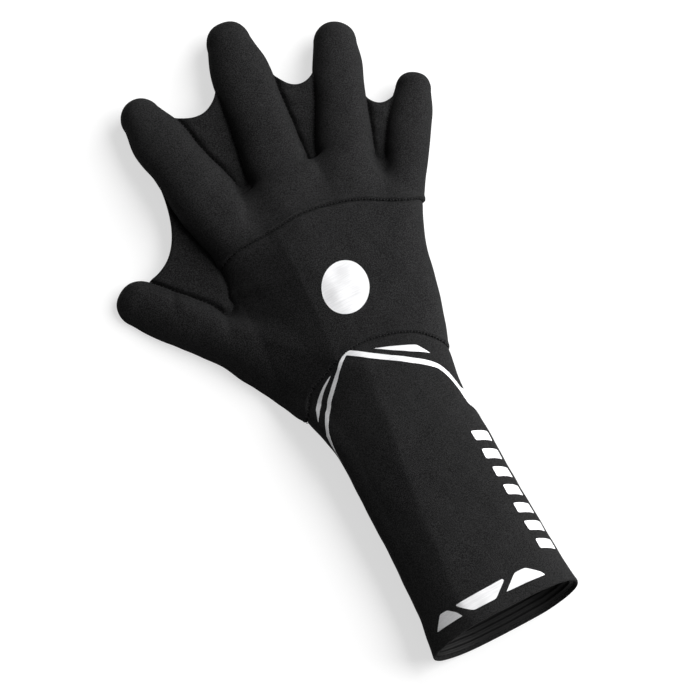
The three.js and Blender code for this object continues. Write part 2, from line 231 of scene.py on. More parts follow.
def palm_and_cuff(x, y, z):
    """The hand without its fingers, with the cuff, as a distance from the skin."""
    half_width, half_height, middle = section_at(glove_sections, y)
    across = x - column(glove_sections, "shift", y)
    up = z - middle
    # The back is folded softly, and falls away more steeply on the thumb's side of the fold.
    beside = x - column(FOLD, "x", y)
    soft = column(FOLD, "soft", y)
    left = np.sqrt(np.minimum(beside, 0) ** 2 + soft) - np.sqrt(soft)
    fall = FALL_DEPTH * (1 - np.exp(-FALL_RATE * left)) + FALL_SLOPE * np.maximum(beside, 0)
    crest = column(FOLD, "fold", y) * (CREST - fall)
    up = np.where(up > 0, up - crest * np.clip(up / CREST_FADE, 0, 1), up)
    squarer = TOP_EXTRA + OUTER_EXTRA * np.clip(across / OUTER_REACH, 0, 1)
    exponent = column(glove_sections, "full", y) + np.where(up < 0, UNDERSIDE_EXTRA, squarer)
    beyond = np.maximum(y - glove_sections[-1]["along"], 0) / FRONT_DOME
    return rounded(across, up, beyond, half_width, half_height, exponent)


# A finger's form is worked out only within these distances of it, and counts as this far off elsewhere.
BEHIND_ROOT, PAST_TIP, ASIDE, OVER, FAR = 22, 10, 32, 44, 12.0
ROOT_END = 12.0
# How full the tip is from above, and how full the section is above and below its middle.
TIP_FULL, TOP_FULL, UNDER_FULL = 2.1, 2.35, 2.2


def finger_form(finger, x, y, z):
    """One finger, with a rounded tip and a rounded root inside the hand."""
    ahead = finger["ahead"]
    dx = x - finger["at"][0]
    dy = y - finger["at"][1]
    along = dx * ahead[0] + dy * ahead[1]
    across = dx * ahead[1] - dy * ahead[0]
    out = np.full(x.shape, FAR)
    near = (along > -BEHIND_ROOT) & (along < finger["reach"] + PAST_TIP)
    near &= (np.abs(across) < ASIDE) & (z < OVER)
    along, across, z = along[near], across[near], z[near]
    straight = finger["reach"] - finger["end"]
    beyond = np.maximum(along - straight, 0) / finger["end"] + np.maximum(-along, 0) / ROOT_END
    half_width, half_height, middle = section_at(finger["sections"], along)
    aside = ((np.abs(across) / half_width) ** TIP_FULL + beyond**TIP_FULL) ** (1 / TIP_FULL) * half_width
    exponent = np.where(z > middle, TOP_FULL, UNDER_FULL)
    out[near] = np.minimum(rounded(aside, z - middle, 0.0, half_width, half_height, exponent), FAR)
    return out


VALLEY_START, VALLEY_FADE = 6, 1.5


def valley(row, x, y):
    """How deep one valley is at each place. It is deepest at its start and runs out at its end."""
    run_x, run_y = row["to_x"] - row["x"], row["to_y"] - row["y"]
    length = math.hypot(run_x, run_y)
    share = ((x - row["x"]) * run_x + (y - row["y"]) * run_y) / length**2
    beside = ((y - row["y"]) * run_x - (x - row["x"]) * run_y) / length
    fade = np.clip(1 - share, 0, 1) * np.clip(1 + share * VALLEY_START, 0, 1)
    spread = np.where(beside > 0, row["right"], row["left"])
    return row["depth"] * fade**VALLEY_FADE * np.exp(-(np.sqrt(beside**2 + 0.5) - 0.7) / spread)


# The hand sinks by this slope from this far beside the fold, and by the second slope over the thumb, whose
# side next to the web sinks as well.
SUNK_FROM, SUNK_SLOPE = 13, 0.28
THUMB_SIDE, THUMB_SLOPE, THUMB_MOST = 8, 0.25, 20
WEB_SIDE, WEB_FADE, THUMB_ROOT_Y = 18, 6, 190
# What has sunk has also slid by these shares of its drop, to the right and towards the fingertips.
SLID_X, SLID_Y = 0.15, 0.28


def sunk(x, y):
    """How much lower the thumb's side of the hand lies than it would if it were filled out."""
    thumb = FINGERS["thumb"]
    inwards = (x - thumb["at"][0]) * thumb["ahead"][1] - (y - thumb["at"][1]) * thumb["ahead"][0]
    beside_thumb = np.clip((WEB_SIDE - inwards) / WEB_FADE, 0, 1) * (y > THUMB_ROOT_Y)
    share = np.maximum(column(SUNK_SIDE, "share", y), beside_thumb)
    hang = np.minimum(SUNK_SLOPE * np.maximum(column(FOLD, "x", y) - SUNK_FROM - x, 0), SUNK)
    return share * (hang + THUMB_SLOPE * np.clip(THUMB_SIDE - inwards, 0, THUMB_MOST))


def before_sinking(x, y):
    """Where each place of the sunk hand was when the hand was filled out, and how far it has sunk."""
    drop = sunk(x, y)
    return x - SLID_X * drop, y - SLID_Y * drop, drop


FILLETS = dict(index=3.5, middle=5.8, ring=3.8, little=4.9)
ROOT_FILLET = 7.0
CROTCH_HEIGHT, CROTCH_FILLET = 12, 3.0
VALLEY_FROM, VALLEY_RISE = 12.5, 7
RIPPLE = 0.16
PRESSED_AT, PRESSED_FILLET = 0.03, 2.5


def hand_form(x, y, z):
    """The whole glove, as a distance in millimetres from its outer skin, below 0 inside."""
    surface = z
    x, y, drop = before_sinking(x, y)
    z = z + drop
    fingers = np.full(x.shape, FAR)
    for name, fillet in FILLETS.items():
        fingers = melt(fingers, finger_form(FINGERS[name], x, y, z), fillet)
    whole = melt(palm_and_cuff(x, y, z), fingers, ROOT_FILLET)
    whole = melt(whole, finger_form(FINGERS["thumb"], x, y, z), ROOT_FILLET)
    for row in CROTCHES:
        plug = np.sqrt((x - row["x"]) ** 2 + (y - row["y"]) ** 2 + (z - CROTCH_HEIGHT) ** 2) - row["size"]
        whole = melt(whole, plug, CROTCH_FILLET)
    above = np.clip((z - VALLEY_FROM) / VALLEY_RISE, 0, 1)
    for row in VALLEYS:
        whole = whole + valley(row, x, y) * above
    # The sheet is soft, so no face of it is quite even.
    ripple = np.sin(x * 0.21 + np.sin(y * 0.09) * 1.3) * np.sin(y * 0.13 + z * 0.2 + 0.8)
    ripple += 0.6 * np.sin(x * 0.43 - y * 0.19 + 2.1) * np.sin(y * 0.31 + x * 0.11)
    whole = whole + RIPPLE * ripple
    # It lies under its own weight, so what touches the surface is pressed flat.
    return -melt(-whole, surface - PRESSED_AT, PRESSED_FILLET)


def push_onto(form, points, rounds=3):
    """Moves points straight onto a form's skin and gives the directions that face out of it."""
    nudge = 0.02
    for _ in range(rounds):
        x, y, z = points.T
        here = form(x, y, z)
        slope = np.stack([
            form(x + nudge, y, z) - here,
            form(x, y + nudge, z) - here,
            form(x, y, z + nudge) - here,
        ], axis=1) / nudge
        size = np.maximum((slope**2).sum(1), 1e-6)
        points = points - slope * (here / size)[:, None]
    return points, slope / np.sqrt(size)[:, None]


def skin_of(form, low, high, step):
    """A closed skin round a form, with one point for each cell of a grid that the skin passes through."""
    axes = [np.arange(a, b + step, step, dtype=np.float32) for a, b in zip(low, high)]
    grid = np.meshgrid(*axes, indexing="ij")
    inside = form(*grid) < 0
    corners = np.zeros([len(a) - 1 for a in axes], dtype=np.int8)
    for i in (0, 1):
        for j in (0, 1):
            for k in (0, 1):
                corners += inside[i:len(axes[0]) - 1 + i, j:len(axes[1]) - 1 + j, k:len(axes[2]) - 1 + k]
    crossed = (corners > 0) & (corners < 8)
    number = np.full(crossed.shape, -1)
    number[crossed] = np.arange(crossed.sum())
    cells = np.argwhere(crossed)
    points = np.array(low) + (cells + 0.5) * step
    quads = []
    for axis in range(3):
        b, c = (axis + 1) % 3, (axis + 2) % 3
        first = np.take(inside, range(len(axes[axis]) - 1), axis)
        second = np.take(inside, range(1, len(axes[axis])), axis)
        for outwards in (True, False):
            edges = np.argwhere(first & ~second if outwards else ~first & second)
            edges = edges[(edges[:, b] > 0) & (edges[:, c] > 0)]
            ring = []
            for db, dc in ((1, 1), (0, 1), (0, 0), (1, 0)):
                cell = edges.copy()
                cell[:, b] -= db
                cell[:, c] -= dc
                ring.append(number[cell[:, 0], cell[:, 1], cell[:, 2]])
            quad = np.stack(ring, axis=1)
            quads.append(quad if outwards else quad[:, ::-1])
    quads = np.concatenate(quads)
    # The points slide along the skin until they are evenly spread.
    for _ in range(4):
        total = np.zeros_like(points)
        count = np.zeros(len(points))
        for i in range(4):
            for j in ((i + 1) % 4, (i + 3) % 4):
                for k in range(3):
                    total[:, k] += np.bincount(quads[:, i], points[quads[:, j], k], len(points))
                count += np.bincount(quads[:, i], minlength=len(points))
        points = points + 0.6 * (total / count[:, None] - points)
        points, _normals = push_onto(form, points, 2)
    return points, np.concatenate([quads[:, [0, 1, 2]], quads[:, [0, 2, 3]]])


def cut(points, triangles, value, level):
    """Splits the triangles that a line of equal value crosses, so that edges run along that line."""
    side = value > level
    count = side[triangles].sum(1)
    crossing = (count == 1) | (count == 2)
    split = triangles[crossing]
    odd = side[split] == (count[crossing] == 1)[:, None]
    first = odd.argmax(1)
    rows = np.arange(len(split))
    a, b, c = (split[rows, (first + k) % 3] for k in range(3))
    pairs = np.sort(np.concatenate([np.stack([a, b], 1), np.stack([a, c], 1)]), axis=1)
    edges, where = np.unique(pairs, axis=0, return_inverse=True)
    where = where.ravel()
    p, q = edges.T
    share = np.clip((level - value[p]) / (value[q] - value[p]), 0.06, 0.94)
    fresh = points[p] + (points[q] - points[p]) * share[:, None]
    ab = len(points) + where[:len(split)]
    ac = len(points) + where[len(split):]
    pieces = [np.stack(t, 1) for t in ((a, ab, ac), (ab, b, c), (ab, c, ac))]
    return np.concatenate([points, fresh]), np.concatenate([triangles[~crossing]] + pieces)


def line_distance(x, y, line):
    """How far each place lies to the left of a drawn line, and how far along that line it is."""
    start, end = line[:-1], line[1:]
    run = end - start
    length = np.hypot(*run.T)
    passed = np.concatenate([[0], np.cumsum(length)[:-1]])
    best = np.full(x.shape, 1e9)
    signed = np.zeros(x.shape)
    along = np.zeros(x.shape)
    for i in range(len(start)):
        dx, dy = x - start[i, 0], y - start[i, 1]
        t = np.clip((dx * run[i, 0] + dy * run[i, 1]) / length[i] ** 2, 0, 1)
        gap = np.hypot(dx - t * run[i, 0], dy - t * run[i, 1])
        nearer = gap < best
        best[nearer] = gap[nearer]
        turn = run[i, 0] * dy - run[i, 1] * dx
        signed[nearer] = (gap * np.sign(turn))[nearer]
        along[nearer] = (passed[i] + t * length[i])[nearer]
    return signed, along


def drawn(rows, step=2.0):
    """A smooth line through the rows of a table of x and y, in short steps."""
    rows = np.array(rows, float)
    run = np.concatenate([[0], np.cumsum(np.hypot(*np.diff(rows, axis=0).T))])
    passed = table("along x y", np.column_stack([run, rows]))
    at = np.linspace(0, run[-1], int(run[-1] / step) + 2)
    return np.stack([column(passed, "x", at), column(passed, "y", at)], 1)


# The seams, drawn from the little finger's side to the thumb's. The side seam sinks less than the hand.
SEAM_SUNK = 0.7
SIDE_SEAM_HEIGHT = dict(wrist=WRIST_HEIGHT * 0.42, knuckles=WEB_MIDDLE)
KNUCKLE_SEAM = [
    (2.68, -0.185), (2.27, -0.165), (1.42, -0.057), (0.5, 0.004), (-0.33, 0.0), (-1.2, -0.011),
    (-1.58, -0.027)]
CUFF_SEAM_RISE = 20.5
CUFF_SEAM = [
    (0.585, 0.0), (0.525, 0.24), (0.42, 0.575), (0.3, 0.775), (0.16, 0.915), (0.016, 0.98),
    (-0.14, 0.91), (-0.33, 0.69), (-0.44, 0.54), (-0.49, 0.33), (-0.56, 0.0)]

knuckle_rows = [(a * FINGER_WIDTH, CUFF_LENGTH + (1 + b) * HAND_LENGTH) for a, b in KNUCKLE_SEAM]
knuckle_line = drawn(knuckle_rows)
inner = knuckle_line[-1]
between = np.add(FINGERS["thumb"]["ahead"], FINGERS["index"]["ahead"]) / 2
knuckle_cut = np.concatenate([[knuckle_line[0] + (60, 0)], knuckle_line, [inner + between * 130]])
cuff_line = drawn([(a * WRIST_WIDTH, CUFF_LENGTH + b * CUFF_SEAM_RISE) for a, b in CUFF_SEAM])
cuff_cut = np.concatenate([[cuff_line[0] + (60, 0)], cuff_line, [cuff_line[-1] - (60, 0)]])


def above_side_seam(p):
    span = SIDE_SEAM_HEIGHT["knuckles"] - SIDE_SEAM_HEIGHT["wrist"]
    share = np.clip((p[:, 1] - CUFF_LENGTH) / HAND_LENGTH, 0, 1)
    return p[:, 2] + SEAM_SUNK * sunk(p[:, 0], p[:, 1]) - SIDE_SEAM_HEIGHT["wrist"] - share * span


def behind(seam):
    """Makes the function that tells how far points lie behind a seam drawn from above."""
    def away(p):
        x, y, _drop = before_sinking(p[:, 0], p[:, 1])
        return line_distance(x, y, seam)[0]

    return away


def other_side(away):
    return lambda p: -away(p)


behind_knuckle_seam, behind_cuff_seam = behind(knuckle_cut), behind(cuff_cut)
below_side_seam, ahead_of_cuff_seam = other_side(above_side_seam), other_side(behind_cuff_seam)


def used_only(points, triangles):
    """The triangles with only those points that they use."""
    used, triangles = np.unique(triangles, return_inverse=True)
    return points[used], triangles.reshape(-1, 3)


def cut_off(points, triangles, away):
    """Keeps the part of a sheet where away is above 0."""
    points, triangles = cut(points, triangles, away(points), 0.0)
    return used_only(points, triangles[away(points[triangles].mean(1)) > 0])


def thickened(top, under, triangles, glued=False):
    """A sheet with two faces and walls round its open edges. Where it is glued on, it has no under face."""
    count = len(top)
    pairs = np.concatenate([triangles[:, [0, 1]], triangles[:, [1, 2]], triangles[:, [2, 0]]])
    key = pairs[:, 0] * (count + 1) + pairs[:, 1]
    back = pairs[:, 1] * (count + 1) + pairs[:, 0]
    rim = pairs[~np.isin(key, back)]
    faces = [triangles] if glued else [triangles, triangles[:, ::-1] + count]
    faces.append(np.stack([rim[:, 1], rim[:, 0], rim[:, 0] + count], 1))
    faces.append(np.stack([rim[:, 1], rim[:, 0] + count, rim[:, 1] + count], 1))
    return np.concatenate([top, under]), np.concatenate(faces)


# A cut edge is worked finely this far in, and its corner is rounded off by no more than this.
FINE_EDGE, EDGE_INSET = 0.4, 0.7


def panel(skin, bounds, form, wall, proud=(), edge=1.0):
    """Cuts a panel out of the skin along its seams, rounds its edges and gives it its thickness."""
    points, triangles = skin
    for away in bounds:
        for level in (SEAM_GAP / 2, FINE_EDGE, edge):
            points, triangles = cut(points, triangles, away(points), level)
        triangles = triangles[away(points[triangles].mean(1)) > SEAM_GAP / 2]
    points, triangles = used_only(points, triangles)
    points, normals = push_onto(form, points, 2)
    inset = np.zeros(len(points))
    for away in bounds:
        short = np.clip(edge - np.maximum(away(points), SEAM_GAP / 2), 0, edge)
        inset = np.maximum(inset, edge - np.sqrt(np.maximum(edge**2 - short**2, 0)))
    raised = np.zeros(len(points))
    for away, rise, at, spread in proud:
        raised += rise * np.exp(-((away(points) - at) / spread) ** 2)
    outer = points + normals * (raised - np.minimum(inset, EDGE_INSET))[:, None]
    return thickened(outer, points - normals * wall(points)[:, None], triangles)


def dropped(x, y, under=False):
    """The places where points that come straight down, or straight up from under, meet the skin."""
    start, step = (-4.0, 0.8) if under else (44.0, -0.8)
    z = np.full(len(x), start)
    for _ in range(60):
        z = z + step * hand_form(x, y, z)
    return np.stack([x, y, z], 1)


def hand_wall(points):
    return np.full(len(points), HAND_WALL)


# The glove's own origin is the middle of the mouth, whose lower lip reaches this share of the slant past it.
LIP_SHARE = 0.48
cuff_low, _cuff_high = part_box("cuff_sleeve")
GLOVE_AT = np.array([cuff_low.x * 1000 + MOUTH_WIDTH / 2, cuff_low.y * 1000 + MOUTH_SLANT * LIP_SHARE, 0.0])


def piece(name, points, faces, material, slot, nodes=(), sharp=40):
    """A mesh in the part's own frame, riding on the glove's one body."""
    mesh = bpy.data.meshes.new(name)
    mesh.from_pydata(((np.asarray(points) + GLOVE_AT) / 1000).tolist(), [], np.asarray(faces).tolist())
    mesh.validate()
    mesh.polygons.foreach_set("use_smooth", [True] * len(mesh.polygons))
    mesh.set_sharp_from_angle(angle=math.radians(sharp))
    mesh.materials.append(material)
    thing = bpy.data.objects.new(name, mesh)
    bpy.context.scene.collection.objects.link(thing)
    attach(thing, "root")
    if nodes:
        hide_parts(*nodes)
    return thing


def shader_group(name, inputs, outputs):
    """An empty group of shader nodes with named sockets."""
    group = bpy.data.node_groups.new(name, "ShaderNodeTree")
    for label, kind, value in inputs:
        socket = group.interface.new_socket(label, in_out="INPUT", socket_type=kind)
        socket.default_value = value
    for label, kind in outputs:
        group.interface.new_socket(label, in_out="OUTPUT", socket_type=kind)
    return group, group.nodes.new("NodeGroupInput"), group.nodes.new("NodeGroupOutput")


# Jersey: a fine knit whose loops stand in slanting rows, laminated on the foam, so it looks like an even
# grain from afar. It fades a little in broad patches, and holds some pale dust.
jersey, given, result = shader_group(
    "jersey_knit",
    [
        ("Colour", "NodeSocketColor", (0.02, 0.02, 0.02, 1)),
        ("Worn Colour", "NodeSocketColor", (0.05, 0.05, 0.05, 1)),
        ("Loop Size", "NodeSocketFloat", 0.8),
        ("Grain", "NodeSocketFloat", 0.5),
    ],
    [("Colour", "NodeSocketColor"), ("Roughness", "NodeSocketFloat"), ("Height", "NodeSocketFloat")],
)


def feed(tree, node, inputs):
    """Gives each named input of a node its value, or a link from another node's output."""
    for label, value in inputs.items():
        if isinstance(value, bpy.types.NodeSocket):
            tree.links.new(value, node.inputs[label])
        else:
            node.inputs[label].default_value = value


def add(tree, kind, inputs=(), **settings):
    """A new shader node with its settings and what its inputs are fed."""
    node = tree.nodes.new("ShaderNode" + kind)
    for key, value in settings.items():
        setattr(node, key, value)
    feed(tree, node, dict(inputs))
    return node


def math_node(operation, a, b, tree=jersey):
    return add(tree, "Math", {0: a, 1: b}, operation=operation).outputs[0]


def mixed(tree, share, low, high):
    """A colour between two others."""
    return add(tree, "Mix", {"Factor": share, "A": low, "B": high}, data_type="RGBA").outputs["Result"]


def bumped(tree, height, strength, distance):
    """The directions of a face with this height pressed into it."""
    node = add(tree, "Bump", {"Height": height, "Strength": strength, "Distance": distance})
    return node.outputs["Normal"]


def new_material(name):
    """A material with its tree of nodes and its shader."""
    material = bpy.data.materials.new(name)
    material.use_nodes = True
    return material, material.node_tree, material.node_tree.nodes["Principled BSDF"]


place = add(jersey, "TexCoord").outputs["Object"]
millimetres = add(jersey, "VectorMath", {0: place, "Scale": 1000}, operation="SCALE").outputs[0]
slanted = add(jersey, "Mapping", {"Vector": millimetres, "Rotation": (0, 0, math.radians(33))})
knit = add(jersey, "TexNoise", {
    "Vector": slanted.outputs[0],
    "Scale": math_node("DIVIDE", 1.0, given.outputs["Loop Size"]),
    "Detail": 3,
    "Roughness": 0.7,
}).outputs["Fac"]
patches = add(jersey, "TexNoise", {"Vector": millimetres, "Scale": 0.02, "Detail": 3}).outputs["Fac"]
specks = add(jersey, "TexVoronoi", {"Vector": millimetres, "Scale": 0.55},
             feature="F1", distance="EUCLIDEAN")
dust = add(jersey, "MapRange", {"Value": specks.outputs["Distance"], "From Min": 0.13, "From Max": 0.05})
chance = add(jersey, "MapRange", {"Value": specks.outputs["Color"], "From Min": 0.86, "From Max": 0.95})
dusty = math_node("MULTIPLY", dust.outputs[0], chance.outputs[0])
grain = math_node("MULTIPLY", math_node("SUBTRACT", knit, 0.5), given.outputs["Grain"])
tone = math_node("ADD", math_node("MULTIPLY", grain, 5.0), math_node("MULTIPLY", patches, 0.85))
tone = math_node("ADD", tone, math_node("MULTIPLY", dusty, 0.5))
feed(jersey, result, {
    "Colour": mixed(jersey, tone, given.outputs["Colour"], given.outputs["Worn Colour"]),
    "Roughness": math_node("ADD", math_node("MULTIPLY", knit, 0.18), 0.68),
    "Height": knit,
})


def fabric(name, colour, worn, loop, grain, bump):
    """A matte fabric with the knit on it and a soft sheen from its fibres."""
    material, tree, shader = new_material(name)
    knit = add(tree, "Group", {
        "Colour": (*colour, 1),
        "Worn Colour": (*worn, 1),
        "Loop Size": loop,
        "Grain": grain,
    }, node_tree=jersey)
    feed(tree, shader, {
        "Base Color": knit.outputs["Colour"],
        "Roughness": knit.outputs["Roughness"],
        "Normal": bumped(tree, knit.outputs["Height"], bump, 0.0004),
        "Specular IOR Level": 0.08,
        "Sheen Weight": 0.015,
        "Sheen Roughness": 0.45,
    })
    return material


hand_jersey = fabric("hand_jersey", (0.0045, 0.0045, 0.0047), (0.0215, 0.0215, 0.0219), 0.48, 1.6, 0.5)

SKIN_STEP = 1.1
glove_skin = skin_of(hand_form, (-100, -8, -3), (102, 338, 42), SKIN_STEP)

palm = panel(glove_skin, [below_side_seam, ahead_of_cuff_seam], hand_form, hand_wall)
piece("palm", *palm, hand_jersey, "hand_neoprene", ["palm_panel"])


# Back of the hand.
# One sheet of the same neoprene for the back of the hand and of the thumb, between the knuckle seam and the
# curved cuff seam. Its edges are glued butt to butt with the next panels and blind-stitched.

back = panel(
    glove_skin, [above_side_seam, ahead_of_cuff_seam, behind_knuckle_seam], hand_form, hand_wall,
    proud=[(ahead_of_cuff_seam, 0.4, 1.2, 1.0), (behind_knuckle_seam, -0.45, 0.0, 1.3)])
piece("hand_back", *back, hand_jersey, "hand_neoprene", ["hand_back_panel"])


# Back of the fingers.
# The upper halves of the four fingers and the knuckles in one sheet, in front of the knuckle seam, which is
# sewn to the palm round each fingertip and to the webs between the fingers.

ahead_of_knuckle_seam = other_side(behind_knuckle_seam)
finger_back = panel(
    glove_skin, [above_side_seam, ahead_of_knuckle_seam], hand_form, hand_wall,
    proud=[(ahead_of_knuckle_seam, 0.8, 1.3, 1.0)])
piece("finger_back", *finger_back, hand_jersey, "hand_neoprene", ["finger_back_panel"])


# Webs.
# Four sheets of the same neoprene between the fingers, sewn into the side seams at half height. Each hangs
# a little slack, with a free front edge that is cut in a curve.

WEB_THICKNESS = 3.0
WEBS = table("name a b start end pull dip swell low flow", [
    ("thumb_index", "thumb", "index", 0.925, 0.64, 0.27, 0.92, 1.0, 6.0, 0.0),
    ("index_middle", "index", "middle", 0.83, 0.765, 0.5, 0.66, 4.0, 0.0, 0.3),
    ("middle_ring", "middle", "ring", 0.755, 0.775, 0.66, 0.68, 4.0, 0.0, 0.3),
    ("ring_little", "ring", "little", 0.655, 0.86, 0.5, 0.42, 3.5, 0.0, 0.3),
])
WEB_OVERLAP = 1
# The free edge starts this far out along each finger where it flows in, and keeps this share of its way.
FLOW_OUT, FLOW_SHARE = 5.0, 0.67
# How deep the crevice along the left border is, how much less along the right, how wide and how sharp.
CREVICE_DEPTH, CREVICE_LESS, CREVICE_WIDTH, CREVICE_SHARP = 2.8, 2.0, 1.6, 1.5
WEB_RISE = 0.4
WRINKLE = 0.35
ROUND_OVER = 1.3
# Rows of points from root to edge, points in a row, and how many of them lie inside each finger.
WEB_ROWS, WEB_COLUMNS, WEB_MARGIN = 120, 112, 11


def on_axis(finger, share, side=0.0):
    """A place on a finger's middle line, or this far out towards one of its sides."""
    along = share * finger["reach"]
    ahead = finger["ahead"]
    half = column(finger["sections"], "width", along) / 2 - WEB_OVERLAP
    return np.array([
        finger["at"][0] + ahead[0] * along + ahead[1] * side * half,
        finger["at"][1] + ahead[1] * along - ahead[0] * side * half,
    ])


def grid_quads(rows, columns):
    """The quads of a sheet of points in rows."""
    number = np.arange(rows * columns).reshape(rows, columns)
    return np.stack([number[:-1, :-1], number[:-1, 1:], number[1:, 1:], number[1:, :-1]], -1).reshape(-1, 4)


def outside_hand(p):
    return hand_form(*p.T) + 0.9


web_borders = {}
for web in WEBS:
    a, b = FINGERS[web["a"]], FINGERS[web["b"]]
    start, end = on_axis(a, web["start"], 1), on_axis(b, web["end"], -1)
    chord = end - start
    below = np.array([chord[1], -chord[0]]) / np.hypot(*chord)
    low = start + chord * web["pull"] + below * web["dip"] * FINGER_WIDTH
    t = np.linspace(0, 1, WEB_COLUMNS - 2 * WEB_MARGIN)[:, None]
    # Its free edge runs in along each finger before it crosses over.
    flow = web["flow"]
    start = start + a["ahead"] * np.array(flow * FLOW_OUT)
    end = end + b["ahead"] * np.array(flow * FLOW_OUT)
    bends = []
    for corner, ahead in ((start, a["ahead"]), (end, b["ahead"])):
        flowing = corner - (corner - low) @ ahead * FLOW_SHARE * np.array(ahead)
        bends.append((1 - flow) * (corner + (low - corner) * 2 / 3) + flow * flowing)
    edge = (1 - t) ** 3 * start + 3 * t * (1 - t) ** 2 * bends[0]
    edge = edge + 3 * t**2 * (1 - t) * bends[1] + t**3 * end
    # The sheet fans out from between the roots to the free edge, and runs on into the fingers at both sides.
    front = np.concatenate([
        np.linspace(on_axis(a, web["start"]), start, WEB_MARGIN + 1)[:-1],
        edge,
        np.linspace(end, on_axis(b, web["end"]), WEB_MARGIN + 1)[1:],
    ])
    v = 1 - np.linspace(1, 0, WEB_ROWS)[:, None, None] ** 1.15
    roots = np.linspace(np.array(a["at"]), np.array(b["at"]), WEB_COLUMNS)
    flat = roots + (front - roots) * v
    # It swells up between its two sewn borders, and sinks into a narrow crevice along them.
    over = (flat[..., 0] - flat[:, :1, 0]) / np.maximum(np.ptp(flat[..., 0], axis=1), 1)[:, None]
    level = WEB_MIDDLE + web["swell"] - web["low"] * (1 - over) ** 2
    room = hand_form(flat[..., 0], flat[..., 1], level - 1.0)
    out = room > 0
    first = out.argmax(1)
    last = WEB_COLUMNS - 1 - out[:, ::-1].argmax(1)
    opened = np.flatnonzero(out.any(1))
    crevice = np.exp(-((np.maximum(room, 0) / CREVICE_WIDTH) ** CREVICE_SHARP))
    wrinkle = WRINKLE * np.sin(flat[..., 0] * 0.55 + flat[..., 1] * 0.5) * (1 - crevice) * np.exp(-room / 6)
    height = level - (CREVICE_DEPTH - CREVICE_LESS * over) * crevice + WEB_RISE * over + wrinkle
    points = np.concatenate([flat, height[..., None]], 2).reshape(-1, 3)
    web_borders[web["name"]] = [
        np.concatenate([flat[opened, side[opened]], height[opened, side[opened]][:, None]], 1)
        for side in (first, last)
    ]
    quads = grid_quads(WEB_ROWS, WEB_COLUMNS)
    triangles = np.concatenate([quads[:, [2, 1, 0]], quads[:, [3, 2, 0]]])
    points, triangles = cut_off(points, triangles, outside_hand)
    # The free edge is rounded over, so the sheet thins out in its last millimetre.
    away = np.abs(line_distance(points[:, 0], points[:, 1], edge)[0])
    close = np.clip(1 - away / ROUND_OVER, 0, 1)
    half = WEB_THICKNESS / 2 * np.sqrt(np.maximum(1 - close**2, 0.1))
    up = np.array([0, 0, 1.0]) * half[:, None]
    piece("web_between_" + web["name"], *thickened(points + up, points - up, triangles),
          hand_jersey, "hand_neoprene", ["web_" + web["name"]])


# Cuff.
# A long sleeve of 3 mm neoprene with a smoother jersey, sewn to the hand along a curved seam. It is folded
# softly along its back and flares towards the mouth, where its edge is pared thin and has no hem.

CUFF_WALL = 3.0

cuff_jersey = fabric("cuff_jersey", (0.005, 0.005, 0.0052), (0.0205, 0.0205, 0.0208), 0.44, 1.9, 0.4)


# The mouth's section starts this far below the surface. The edge is pared by this much, over this length.
MOUTH_BELOW = 0.75
PARED, PARED_LENGTH = 2.1, 9


def inside_mouth(p):
    return p[:, 1] + MOUTH_SLANT * (0.5 - (p[:, 2] + MOUTH_BELOW) / MOUTH_HEIGHT)


def cuff_wall(points):
    return CUFF_WALL - PARED * np.exp(-((np.maximum(points[:, 1] + 2, 0) / PARED_LENGTH) ** 2))


cuff = panel(glove_skin, [behind_cuff_seam, inside_mouth], hand_form, cuff_wall,
             proud=[(behind_cuff_seam, -0.25, 0.0, 1.6)])
piece("cuff", *cuff, cuff_jersey, "cuff_neoprene", ["cuff_sleeve"])


# Seal.
# A band of smooth-skin rubber inside the mouth, glued to the cuff all round, with raised ridges that grip
# the sleeve under it and keep the water out.

SEAL_INSET = 2.0
SEAL_LENGTH = 27.0
SEAL_THICKNESS = 1.0
SEAL_RIDGE = 0.5
SEAL_RIDGES = 11

rubber, tree, shader = new_material("seal_rubber")
place = add(tree, "TexCoord").outputs["Object"]
mottle = add(tree, "TexNoise", {"Vector": place, "Scale": 420, "Detail": 4}).outputs["Fac"]
feed(tree, shader, {
    "Base Color": mixed(tree, mottle, (0.004, 0.004, 0.004, 1), (0.009, 0.009, 0.0092, 1)),
    "Roughness": add(tree, "MapRange", {"Value": mottle, "To Min": 0.5, "To Max": 0.68}).outputs[0],
    "Normal": bumped(tree, mottle, 0.12, 0.0003),
    "Specular IOR Level": 0.2,
})

SEAL_TURNS, SEAL_STEPS = 260, 130
GLUE = 0.2
turn = np.linspace(0, 2 * np.pi, SEAL_TURNS, endpoint=False)
mouth_skin = []
for s in SEAL_INSET + np.linspace(0, SEAL_LENGTH, SEAL_STEPS + 1):
    half_width, half_height, middle = section_at(glove_sections, s)
    full = column(glove_sections, "full", s)
    power = 2 / np.where(np.sin(turn) > 0, full, full + UNDERSIDE_EXTRA)
    across = half_width * np.sign(np.cos(turn)) * np.abs(np.cos(turn)) ** power
    up = half_height * np.sign(np.sin(turn)) * np.abs(np.sin(turn)) ** power
    slant = MOUTH_SLANT * max(1 - 4 * s / CUFF_LENGTH, 0) * (0.5 - (up + half_height) / (2 * half_height))
    mouth_skin.append(np.stack([column(glove_sections, "shift", s) + across, s - slant, middle + up], 1))
mouth_skin, facing = push_onto(hand_form, np.concatenate(mouth_skin), 4)
wave = 0.5 - 0.5 * np.cos(2 * np.pi * SEAL_RIDGES * np.repeat(np.linspace(0, 1, SEAL_STEPS + 1), SEAL_TURNS))
depth = cuff_wall(mouth_skin) + GLUE
glued = mouth_skin - facing * depth[:, None]
inner_face = mouth_skin - facing * (depth + SEAL_THICKNESS + SEAL_RIDGE * wave**1.5)[:, None]
number = np.arange((SEAL_STEPS + 1) * SEAL_TURNS).reshape(SEAL_STEPS + 1, SEAL_TURNS)
right = np.roll(number, -1, axis=1)
